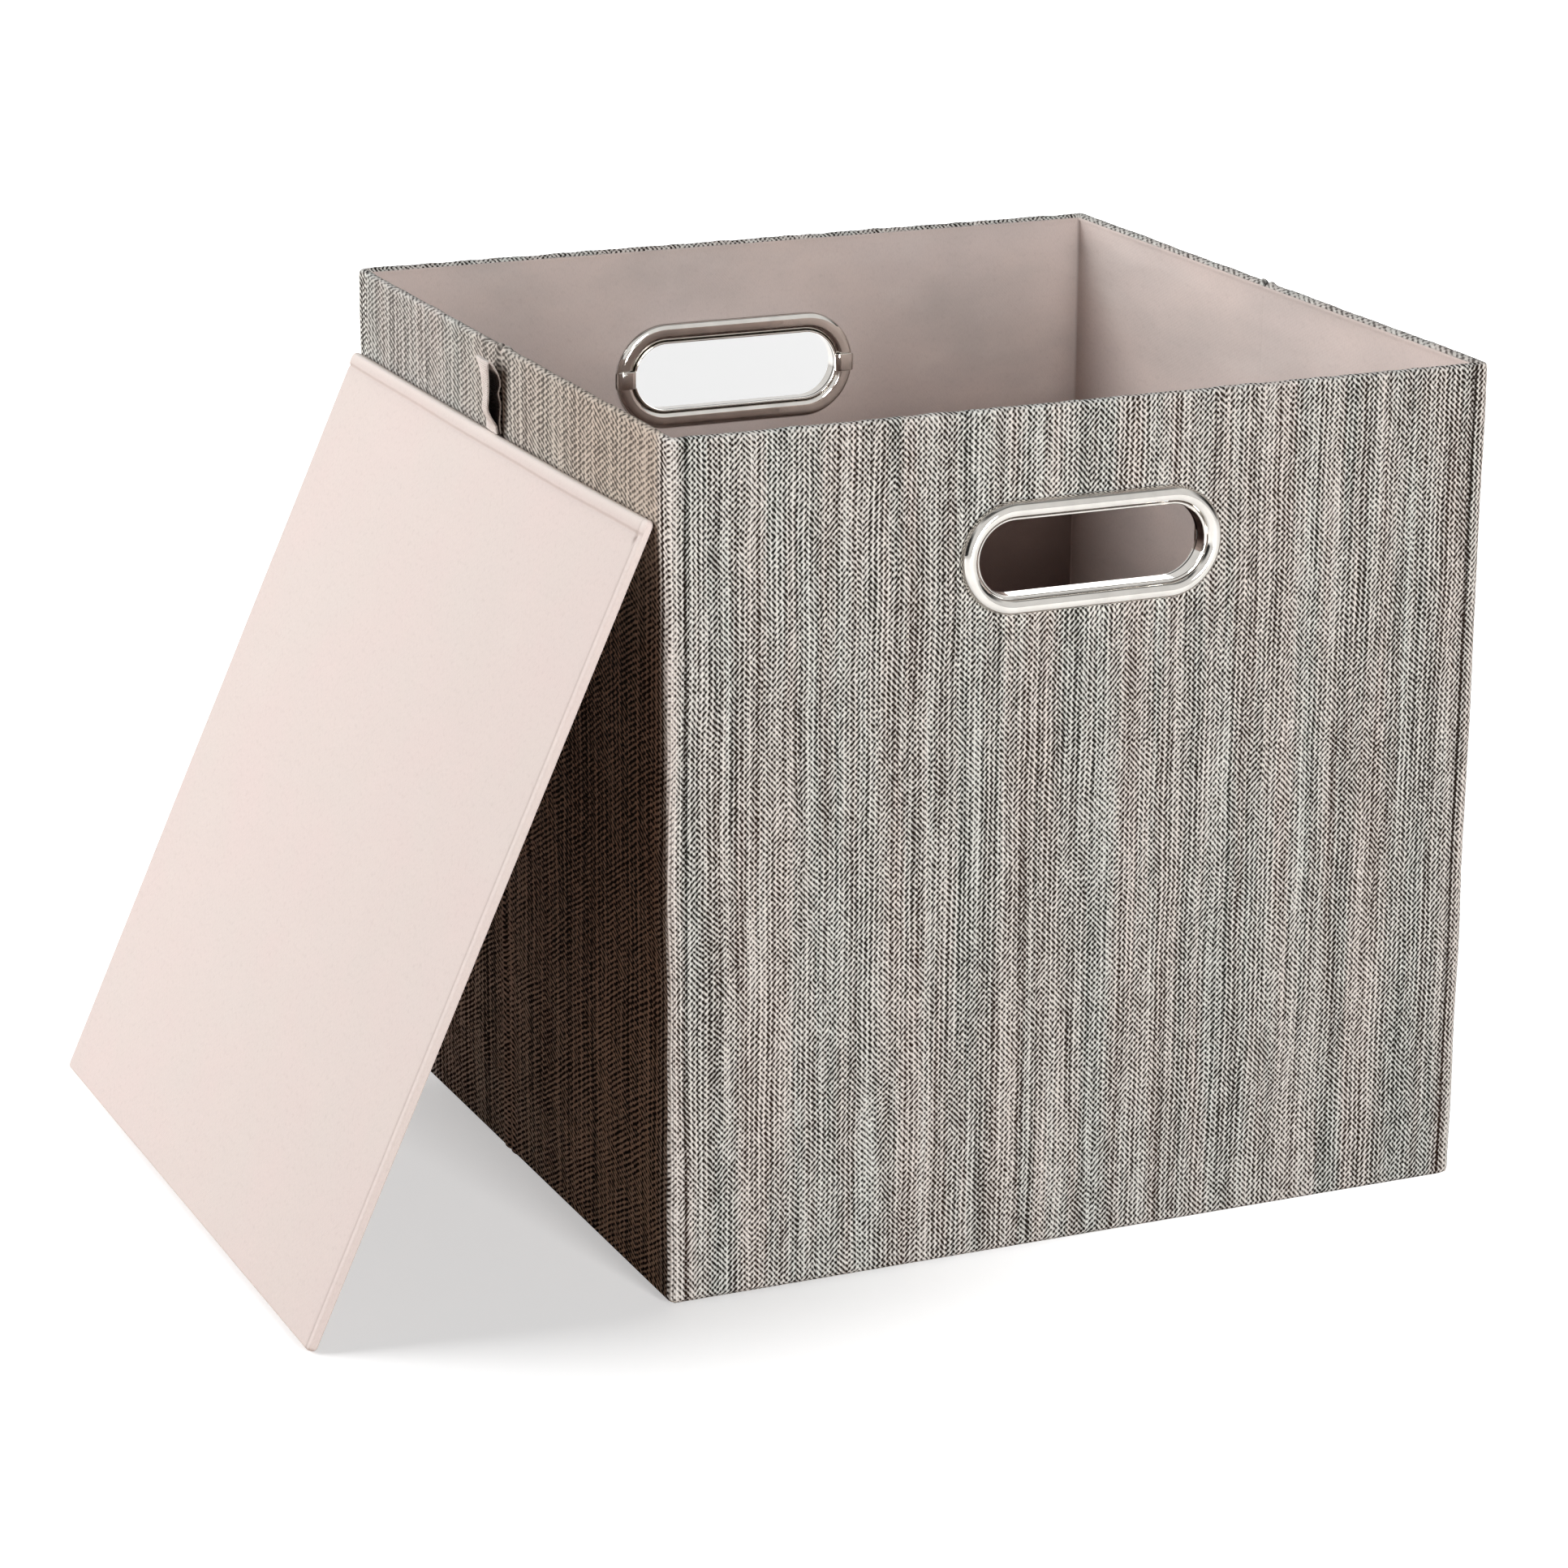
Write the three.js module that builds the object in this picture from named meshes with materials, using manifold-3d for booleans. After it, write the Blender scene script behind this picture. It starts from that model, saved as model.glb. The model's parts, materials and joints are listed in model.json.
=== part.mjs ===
// Folding fabric storage bin: four cloth-covered card walls that fold on sewn creases, a cloth floor,
// two oval metal grip rings, and the loose base board with its ribbon tab leaning on the left wall.
// Millimetres, +Z up. The front wall faces -Y, the origin is the centre of the bin's underside.
import * as THREE from 'three';
import { mergeVertices } from 'three/addons/utils/BufferGeometryUtils.js';
import Module from 'manifold-3d';

const wasm = await Module();
wasm.setup();

// ---- driving dimensions ----
const WIDTH = 330; // outer, along X
const DEPTH = 330; // outer, along Y
const HEIGHT = 324; // floor to rim
const GAP = 0.3; // between layers that touch
const TWEED = 0.6; // outer cloth
const CARD = 1.8; // stiffener in the walls
const LINING = 0.5; // inner cloth
const WALL = TWEED + GAP + CARD + GAP + LINING; // whole wall
const CORNER_RADIUS = 2.2; // outer vertical corners
const SEAM_HALF = 0.4; // half of the slit at each side wall's centre crease

const FLOOR_CLOTH = 0.6;
const FLOOR_LINING = 0.5;
const FLOOR_RADIUS = 3;
const WALL_FOOT = FLOOR_CLOTH + GAP + FLOOR_LINING + GAP; // walls stand above both floor cloths

const GRIP_Z = 268.9; // centre of the grip holes
const GRIP_LENGTH = 91; // finger opening, end to end
const GRIP_HEIGHT = 28;
const SLEEVE = 1; // wall of the tube through the panel
const BEZEL_WIDTH = 7;
const BEZEL_RISE = 4;
const RING_WIDTH = 8.3; // inner ring, from the opening's edge
const RING_RISE = 2.3;
const CLAW = { length: 7, height: 7, thick: 0.7 };
const CAP_SEGMENTS = 14; // facets in each round end of a grip

const BOARD_LENGTH = 318; // foot to top edge, along its slope
const BOARD_WIDTH = 312; // along Y
const BOARD_THICK = 4;
const BOARD_CLOTH = 0.6;
const BOARD_RADIUS = 4;
const BOARD_FOOT = 131; // foot line to the wall, along X
const BOARD_Y = 2.6;

const TAB_WIDTH = 13;
const TAB_CLOTH = 0.7;

const LEAN = Math.asin(BOARD_FOOT / BOARD_LENGTH); // from upright
const SIDE = WIDTH / 2;
const FRONT = DEPTH / 2;

// ---- materials ----
const paint = (color, roughness, metalness = 0) =>
  new THREE.MeshStandardMaterial({ color, roughness, metalness });
const tweedCloth = paint('#9c9089', 0.95);
const liningCloth = paint('#b5a59f', 0.85);
const boardCloth = paint('#ecdfda', 0.85);
const ribbonCloth = paint('#e6dad4', 0.8);
const greyCard = paint('#a89a86', 0.95);
const chromePlate = paint('#d6d8da', 0.12, 1);

// ---- geometry helpers ----
function toSolid(geometry) {
  const bare = geometry.clone();
  bare.deleteAttribute('normal');
  bare.deleteAttribute('uv');
  const merged = mergeVertices(bare, 1e-4);
  return new wasm.Manifold(new wasm.Mesh({
    numProp: 3,
    vertProperties: Float32Array.from(merged.attributes.position.array),
    triVerts: Uint32Array.from(merged.index.array),
  }));
}

function toGeometry(solid) {
  const mesh = solid.getMesh();
  const geometry = new THREE.BufferGeometry();
  geometry.setAttribute('position', new THREE.BufferAttribute(mesh.vertProperties, 3));
  geometry.setIndex(new THREE.BufferAttribute(mesh.triVerts, 1));
  geometry.computeVertexNormals();
  return geometry;
}

function cut(geometry, ...tools) {
  let solid = toSolid(geometry);
  for (const tool of tools) {
    solid = solid.subtract(toSolid(tool));
  }
  return toGeometry(solid);
}

function block(x, y, z) {
  const geometry = new THREE.BoxGeometry(x[1] - x[0], y[1] - y[0], z[1] - z[0]);
  geometry.translate((x[0] + x[1]) / 2, (y[0] + y[1]) / 2, (z[0] + z[1]) / 2);
  return geometry;
}

// A rectangle in X and Y with one radius per corner, in the order (-,-), (+,-), (+,+), (-,+).
function outline(x, y, radii) {
  const corners = [[x[0], y[0]], [x[1], y[0]], [x[1], y[1]], [x[0], y[1]]];
  const inward = [[1, 1], [-1, 1], [-1, -1], [1, -1]];
  const shape = new THREE.Shape();
  corners.forEach(([cx, cy], i) => {
    const r = radii[i];
    if (r > 0) {
      const start = Math.PI + i * Math.PI / 2;
      shape.absarc(cx + inward[i][0] * r, cy + inward[i][1] * r, r, start, start + Math.PI / 2);
    } else if (i === 0) {
      shape.moveTo(cx, cy);
    } else {
      shape.lineTo(cx, cy);
    }
  });
  shape.closePath();
  return shape;
}

function roundedBlock(x, y, z, radii) {
  const options = { depth: z[1] - z[0], bevelEnabled: false, curveSegments: 5 };
  const geometry = new THREE.ExtrudeGeometry(outline(x, y, radii), options);
  geometry.translate(0, 0, z[0]);
  return geometry;
}

// The stadium that lies `offset` outside the grip opening, as points in X and Z about its centre.
function stadium(offset) {
  const radius = GRIP_HEIGHT / 2 + offset;
  const half = (GRIP_LENGTH - GRIP_HEIGHT) / 2;
  const points = [];
  for (const side of [1, -1]) {
    for (let i = 0; i <= CAP_SEGMENTS; i += 1) {
      const angle = (i / CAP_SEGMENTS - 0.5) * Math.PI;
      points.push([side * (half + radius * Math.cos(angle)), side * radius * Math.sin(angle)]);
    }
  }
  return points;
}

function gripHole() {
  const points = stadium(SLEEVE + GAP).map(([x, z]) => new THREE.Vector2(x, z));
  const geometry = new THREE.ExtrudeGeometry(new THREE.Shape(points), { depth: 40, bevelEnabled: false });
  geometry.rotateX(Math.PI / 2);
  geometry.translate(0, -FRONT + 20, GRIP_Z);
  return geometry;
}

// A closed section of [offset, y] points carried round the grip opening.
function gripSweep(section) {
  const rings = section.map(([offset, y]) => stadium(offset).map(([x, z]) => [x, y, GRIP_Z + z]));
  const count = rings[0].length;
  const positions = rings.flat(2);
  const index = [];
  for (let i = 0; i < rings.length; i += 1) {
    const next = (i + 1) % rings.length;
    for (let j = 0; j < count; j += 1) {
      const k = (j + 1) % count;
      index.push(i * count + j, next * count + k, i * count + k);
      index.push(i * count + j, next * count + j, next * count + k);
    }
  }
  const geometry = new THREE.BufferGeometry();
  geometry.setAttribute('position', new THREE.Float32BufferAttribute(positions, 3));
  geometry.setIndex(index);
  geometry.computeVertexNormals();
  return geometry;
}

function node(name, geometry, material) {
  const mesh = new THREE.Mesh(geometry, material);
  mesh.name = name;
  return mesh;
}

// ---- front wall; the back wall is the same one turned round ----
function wallPanel(prefix) {
  const y = [-FRONT, -FRONT + WALL];
  const r = CORNER_RADIUS;
  const inset = TWEED + GAP;
  const skin = roundedBlock([-SIDE, SIDE], y, [WALL_FOOT, HEIGHT], [r, r, 0, 0]);
  const pocket = roundedBlock([-SIDE + TWEED, SIDE - TWEED], [y[0] + TWEED, y[1] + 1],
    [WALL_FOOT - 1, HEIGHT - TWEED], [r - TWEED, r - TWEED, 0, 0]);
  const card = roundedBlock([-SIDE + inset, SIDE - inset], [y[0] + inset, y[0] + inset + CARD],
    [WALL_FOOT, HEIGHT - inset], [r - inset, r - inset, 0, 0]);
  const lining = block([-SIDE + WALL, SIDE - WALL], [y[1] - LINING, y[1]], [WALL_FOOT, HEIGHT - inset]);
  return [
    node(`${prefix}_cover`, cut(skin, pocket, gripHole()), tweedCloth),
    node(`${prefix}_card`, cut(card, gripHole()), greyCard),
    node(`${prefix}_lining`, cut(lining, gripHole()), liningCloth),
  ];
}

function gripParts(prefix) {
  const face = -FRONT;
  const inside = -FRONT + WALL;
  const sleeveEnd = inside + RING_RISE - 0.1;
  const bezel = [
    [0, sleeveEnd], [0, face - 1.2], [0.35, face - 2.5], [1.3, face - 3.5], [2.6, face - BEZEL_RISE + 0.05],
    [3.9, face - BEZEL_RISE], [5.3, face - 3.4], [6.4, face - 2.3], [BEZEL_WIDTH, face - 1],
    [BEZEL_WIDTH, face - GAP], [SLEEVE, face - GAP], [SLEEVE, sleeveEnd],
  ];
  const root = SLEEVE + GAP;
  const ring = [
    [root, inside + GAP], [RING_WIDTH, inside + GAP], [RING_WIDTH, inside + 0.8],
    [RING_WIDTH - 1.5, inside + RING_RISE], [root + 1, inside + RING_RISE], [root, inside + 1.8],
  ];
  const parts = [
    node(`${prefix}_grip_bezel`, gripSweep(bezel), chromePlate),
    node(`${prefix}_grip_ring`, gripSweep(ring), chromePlate),
  ];
  for (const [side, label] of [[-1, 'left'], [1, 'right']]) {
    const start = GRIP_LENGTH / 2 + 0.2;
    const x = [side * start, side * (start + CLAW.length)].sort((a, b) => a - b);
    const y = [inside + RING_RISE + GAP, inside + RING_RISE + GAP + CLAW.thick];
    const claw = block(x, y, [GRIP_Z - CLAW.height / 2, GRIP_Z + CLAW.height / 2]);
    parts.push(node(`${prefix}_grip_claw_${label}`, claw, chromePlate));
  }
  return parts;
}

// ---- one half of a side wall, between a corner and the centre crease ----
function sideHalf(prefix, xSign, ySign) {
  const range = (sign, a, b) => [sign * a, sign * b].sort((p, q) => p - q);
  const inset = TWEED + GAP;
  const corner = FRONT - WALL - GAP;
  const skin = block(range(xSign, SIDE, SIDE - WALL), range(ySign, corner, SEAM_HALF), [WALL_FOOT, HEIGHT]);
  const pocket = block(range(xSign, SIDE - TWEED, SIDE - WALL - 1),
    range(ySign, corner + 1, SEAM_HALF + TWEED), [WALL_FOOT - 1, HEIGHT - TWEED]);
  const card = block(range(xSign, SIDE - inset, SIDE - inset - CARD),
    range(ySign, corner, SEAM_HALF + inset), [WALL_FOOT, HEIGHT - inset]);
  const lining = block(range(xSign, SIDE - WALL + LINING, SIDE - WALL),
    range(ySign, corner, SEAM_HALF + inset), [WALL_FOOT, HEIGHT - inset]);
  return [
    node(`${prefix}_cover`, cut(skin, pocket), tweedCloth),
    node(`${prefix}_card`, card, greyCard),
    node(`${prefix}_lining`, lining, liningCloth),
  ];
}

// ---- floor cloths ----
function floorParts() {
  const r = FLOOR_RADIUS;
  const cover = roundedBlock([-SIDE, SIDE], [-FRONT, FRONT], [0, FLOOR_CLOTH], [r, r, r, r]);
  const inner = WALL + GAP;
  const z = FLOOR_CLOTH + GAP;
  const lining = block([-SIDE + inner, SIDE - inner], [-FRONT + inner, FRONT - inner], [z, z + FLOOR_LINING]);
  return [
    node('floor_cover', cover, tweedCloth),
    node('floor_lining', lining, liningCloth),
  ];
}

// ---- base board: card between two cloths, made flat with its outer face at -X ----
function boardLayer(inset, x, radius) {
  const y = [-BOARD_WIDTH / 2 + inset, BOARD_WIDTH / 2 - inset];
  const z = [inset, BOARD_LENGTH - inset];
  const options = { depth: x[1] - x[0], bevelEnabled: false, curveSegments: 5 };
  const geometry = new THREE.ExtrudeGeometry(outline(y, z, [radius, radius, radius, radius]), options);
  geometry.rotateX(Math.PI / 2);
  geometry.rotateZ(Math.PI / 2);
  geometry.translate(x[0], 0, 0);
  return geometry;
}

function boardParts() {
  const inset = BOARD_CLOTH + GAP;
  const tray = cut(boardLayer(0, [-BOARD_THICK, 0], BOARD_RADIUS),
    boardLayer(BOARD_CLOTH, [-BOARD_THICK + BOARD_CLOTH, 1], BOARD_RADIUS - BOARD_CLOTH));
  const card = boardLayer(inset, [-BOARD_THICK + inset, -inset], BOARD_RADIUS - inset);
  const back = boardLayer(inset, [-BOARD_CLOTH, 0], BOARD_RADIUS - inset);
  return [
    node('base_board_cover', tray, boardCloth),
    node('base_board_card', card, greyCard),
    node('base_board_back_cloth', back, boardCloth),
  ];
}

// ---- ribbon tab: a loop of tape, both ends sewn into the board's top edge ----
function tabLoop() {
  const middle = new THREE.SplineCurve([
    [-0.45, 0], [-0.7, 3], [-2.2, 9], [-2.4, 14], [-3.1, 20], [-4, 24.5], [-3.1, 26.4], [-1.4, 25.6],
    [0.1, 21], [0.7, 15], [0.5, 9], [0.5, 4], [0.45, 0],
  ].map(([x, z]) => new THREE.Vector2(x, z)));
  const steps = 36;
  const outer = [];
  const inner = [];
  for (let i = 0; i <= steps; i += 1) {
    const point = middle.getPoint(i / steps);
    const along = middle.getTangent(i / steps);
    const side = new THREE.Vector2(-along.y, along.x).multiplyScalar(TAB_CLOTH / 2);
    if (i === 0 || i === steps) {
      side.y = 0;
    }
    outer.push(point.clone().add(side));
    inner.push(point.clone().sub(side));
  }
  const shape = new THREE.Shape([...outer, ...inner.reverse()]);
  const geometry = new THREE.ExtrudeGeometry(shape, { depth: TAB_WIDTH, bevelEnabled: false });
  geometry.rotateX(Math.PI / 2);
  geometry.translate(0, TAB_WIDTH / 2, 0);
  return node('pull_tab', geometry, ribbonCloth);
}

// ---- assembly ----
const bin = new THREE.Group();
bin.add(...wallPanel('front'), ...gripParts('front'));

const backWall = new THREE.Group();
backWall.rotation.z = Math.PI;
backWall.add(...wallPanel('back'), ...gripParts('back'));
bin.add(backWall);

bin.add(...sideHalf('left_front', -1, -1), ...sideHalf('left_back', -1, 1));
bin.add(...sideHalf('right_front', 1, -1), ...sideHalf('right_back', 1, 1));
bin.add(...floorParts());

const board = new THREE.Group();
board.position.set(-SIDE - GAP - BOARD_FOOT, BOARD_Y, 0);
board.rotation.y = LEAN;
board.add(...boardParts());
bin.add(board);

const tab = tabLoop();
const boardTop = BOARD_LENGTH * Math.cos(LEAN) + BOARD_THICK * Math.sin(LEAN);
tab.position.set(-SIDE - GAP - BOARD_THICK / 2 * Math.cos(LEAN), BOARD_Y, boardTop + GAP);
bin.add(tab);

export default bin;
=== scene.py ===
import json
import math

import bmesh
import bpy
import numpy as np
from mathutils import Matrix, Vector


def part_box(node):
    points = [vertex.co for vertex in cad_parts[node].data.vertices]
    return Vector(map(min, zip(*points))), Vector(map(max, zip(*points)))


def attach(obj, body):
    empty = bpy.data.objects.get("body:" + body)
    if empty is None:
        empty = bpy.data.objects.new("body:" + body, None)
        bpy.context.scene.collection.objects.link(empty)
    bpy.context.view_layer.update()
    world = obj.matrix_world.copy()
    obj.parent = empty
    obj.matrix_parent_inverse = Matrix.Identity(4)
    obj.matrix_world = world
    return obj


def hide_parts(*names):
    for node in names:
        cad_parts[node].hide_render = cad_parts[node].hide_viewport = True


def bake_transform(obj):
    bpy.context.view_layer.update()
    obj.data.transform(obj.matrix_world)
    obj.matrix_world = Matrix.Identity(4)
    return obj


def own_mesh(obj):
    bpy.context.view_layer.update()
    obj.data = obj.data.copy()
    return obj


MM = 0.001

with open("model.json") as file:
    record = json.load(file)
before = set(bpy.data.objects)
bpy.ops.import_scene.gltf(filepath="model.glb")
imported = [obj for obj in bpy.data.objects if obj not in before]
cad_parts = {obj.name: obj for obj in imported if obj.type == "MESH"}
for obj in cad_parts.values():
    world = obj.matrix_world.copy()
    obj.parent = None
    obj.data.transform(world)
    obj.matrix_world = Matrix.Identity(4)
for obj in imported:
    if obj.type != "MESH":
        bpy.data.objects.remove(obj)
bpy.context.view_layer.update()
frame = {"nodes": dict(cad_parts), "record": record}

# ---------------- sizes, from the frame where it has them, the rest given
panel_low, panel_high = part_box("front_cover")
SIDE = panel_high[0]
FRONT = -panel_low[1]
RIM = panel_high[2]
WALL = panel_high[1] - panel_low[1]
bezel_low, bezel_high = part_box("front_grip_bezel")
GRIP_Z = (bezel_low[2] + bezel_high[2]) / 2
BEZEL_WIDTH = 7 * MM
GRIP_RADIUS = (bezel_high[2] - bezel_low[2]) / 2 - BEZEL_WIDTH
GRIP_HALF = (bezel_high[0] - bezel_low[0]) / 2 - BEZEL_WIDTH - GRIP_RADIUS
joints = {joint["name"]: joint for joint in frame["record"]["behaviour"]["joints"]}
BOARD_FOOT = Vector(joints["base_board_tip"]["pos_m"])
BOARD_LENGTH, BOARD_WIDTH, BOARD_THICK = 318 * MM, 312 * MM, 4 * MM
BOARD_GAP = 0.3 * MM  # between the board's top edge and the left wall
BOARD_LEAN = math.asin((-SIDE - BOARD_GAP - BOARD_FOOT.x) / BOARD_LENGTH)
TAB_LOW, TAB_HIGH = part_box("pull_tab")
CORNER = 11 * MM  # each corner strip's reach along both walls
CORNER_ROUND, INNER_ROUND = 3.2 * MM, 1.2 * MM  # radii of the upright corners, outside and inside
CREASE = 8 * MM  # half width of the strip over a side wall's centre crease
SIDE_RATE = 0.5  # the side walls' cloth shows columns twice as wide as the front's
RIGHT_START = 2 * SIDE  # the cloth's distance where the right wall starts
BACK_START = RIGHT_START + 2 * FRONT * SIDE_RATE
LEFT_START = -2 * FRONT * SIDE_RATE


# ---------------- camera
def place_camera(azimuth, elevation, roll, place, lens):
    """A camera at a place, turned by angles in degrees; lens is its focal length in millimetres."""
    a, e, r = (math.radians(angle) for angle in (azimuth, elevation, roll))
    back = Vector((math.sin(a) * math.cos(e), -math.cos(a) * math.cos(e), math.sin(e)))
    right = Vector((0, 0, 1)).cross(back).normalized()
    up = back.cross(right)
    turned_right = math.cos(r) * right + math.sin(r) * up
    turned_up = math.cos(r) * up - math.sin(r) * right
    data = bpy.data.cameras.new("camera")
    data.sensor_width = 36
    data.lens = lens
    data.clip_start = 0.05
    data.clip_end = 60
    camera = bpy.data.objects.new("camera", data)
    matrix = Matrix((turned_right, turned_up, back)).transposed().to_4x4()
    matrix.translation = place
    camera.matrix_world = matrix
    bpy.context.scene.collection.objects.link(camera)
    bpy.context.scene.camera = camera


place_camera(azimuth=-23.913, elevation=17.277, roll=0.341,
             place=(-0.7763, -1.6433, 0.6976), lens=109.29)


# ---------------- node helpers
def wire(tree, kind, inputs=None, **props):
    """A new node with its inputs set, or linked where the value is another node's output."""
    node = tree.nodes.new(kind)
    for key, value in props.items():
        setattr(node, key, value)
    for key, value in (inputs or {}).items():
        if isinstance(value, bpy.types.NodeSocket):
            tree.links.new(value, node.inputs[key])
        else:
            node.inputs[key].default_value = value
    return node


class Tree:
    """The nodes of a material or a world, written as expressions."""

    def __init__(self, name, owner=None):
        if owner is None:
            owner = bpy.data.materials.new(name)
        owner.use_nodes = True
        self.owner = owner
        self.tree = owner.node_tree
        self.tree.nodes.clear()

    def math(self, operation, a, b=0.0):
        return wire(self.tree, "ShaderNodeMath", {0: a, 1: b}, operation=operation).outputs[0]

    def add(self, a, b):
        return self.math("ADD", a, b)

    def sub(self, a, b):
        return self.math("SUBTRACT", a, b)

    def mul(self, a, b):
        return self.math("MULTIPLY", a, b)

    def vector(self, x=0.0, y=0.0, z=0.0):
        return wire(self.tree, "ShaderNodeCombineXYZ", {0: x, 1: y, 2: z}).outputs[0]

    def uv(self, name="cloth"):
        """Two lengths in metres that the mesh carries, such as along the cloth and up it."""
        source = wire(self.tree, "ShaderNodeUVMap", uv_map=name).outputs[0]
        parts = wire(self.tree, "ShaderNodeSeparateXYZ", {0: source})
        return parts.outputs[0], parts.outputs[1]

    def place(self):
        return wire(self.tree, "ShaderNodeTexCoord").outputs["Object"]

    def noise(self, vector, scale=1.0, detail=2.0, roughness=0.5):
        inputs = {"Vector": vector, "Scale": scale, "Detail": detail, "Roughness": roughness}
        return wire(self.tree, "ShaderNodeTexNoise", inputs, noise_dimensions="3D").outputs[0]

    def white(self, vector):
        inputs = {"Vector": vector}
        return wire(self.tree, "ShaderNodeTexWhiteNoise", inputs, noise_dimensions="3D").outputs[0]

    def remap(self, value, low, high, to_low=0.0, to_high=1.0, kind="LINEAR"):
        """The value carried from one range to another and kept in it."""
        inputs = {0: value, 1: low, 2: high, 3: to_low, 4: to_high}
        return wire(self.tree, "ShaderNodeMapRange", inputs, interpolation_type=kind).outputs[0]

    def ease(self, value, low, high, to_low=0.0, to_high=1.0):
        return self.remap(value, low, high, to_low, to_high, "SMOOTHSTEP")

    def mix(self, factor, a, b):
        node = wire(self.tree, "ShaderNodeMix", data_type="RGBA", blend_type="MIX")
        for index, value in ((0, factor), (6, a), (7, b)):
            if isinstance(value, bpy.types.NodeSocket):
                self.tree.links.new(value, node.inputs[index])
            else:
                node.inputs[index].default_value = value
        return node.outputs[2]

    def bump(self, height, distance, strength=1.0):
        inputs = {"Height": height, "Distance": distance, "Strength": strength}
        return wire(self.tree, "ShaderNodeBump", inputs).outputs[0]

    def surface(self, **inputs):
        """Ends a material in one shader, and returns the material."""
        names = {key.replace("_", " "): value for key, value in inputs.items()}
        shader = wire(self.tree, "ShaderNodeBsdfPrincipled", names)
        output = wire(self.tree, "ShaderNodeOutputMaterial")
        self.tree.links.new(shader.outputs[0], output.inputs[0])
        return self.owner


def rgb(red, green, blue):
    """A linear colour from display values out of 255."""
    def linear(value):
        share = value / 255
        return share / 12.92 if share <= 0.04045 else ((share + 0.055) / 1.055) ** 2.4
    return (linear(red), linear(green), linear(blue), 1)


# ---------------- materials
THREAD_ALONG = 1.03 * MM  # width of one column of the weave
THREAD_UP = 1.12 * MM  # height of one row
EVEN_SHARE = 0.48  # share of charcoal that the side walls' contrast turns about
SHADE_FROM, SHADE_TO = 0.22, 0.285  # heights between which the side walls' painted shade gives way to paler cloth
LIT_FOOT_FROM, LIT_FOOT_TO = 0.02, 0.17  # heights between which the painted light on its paler foot fades out


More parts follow.
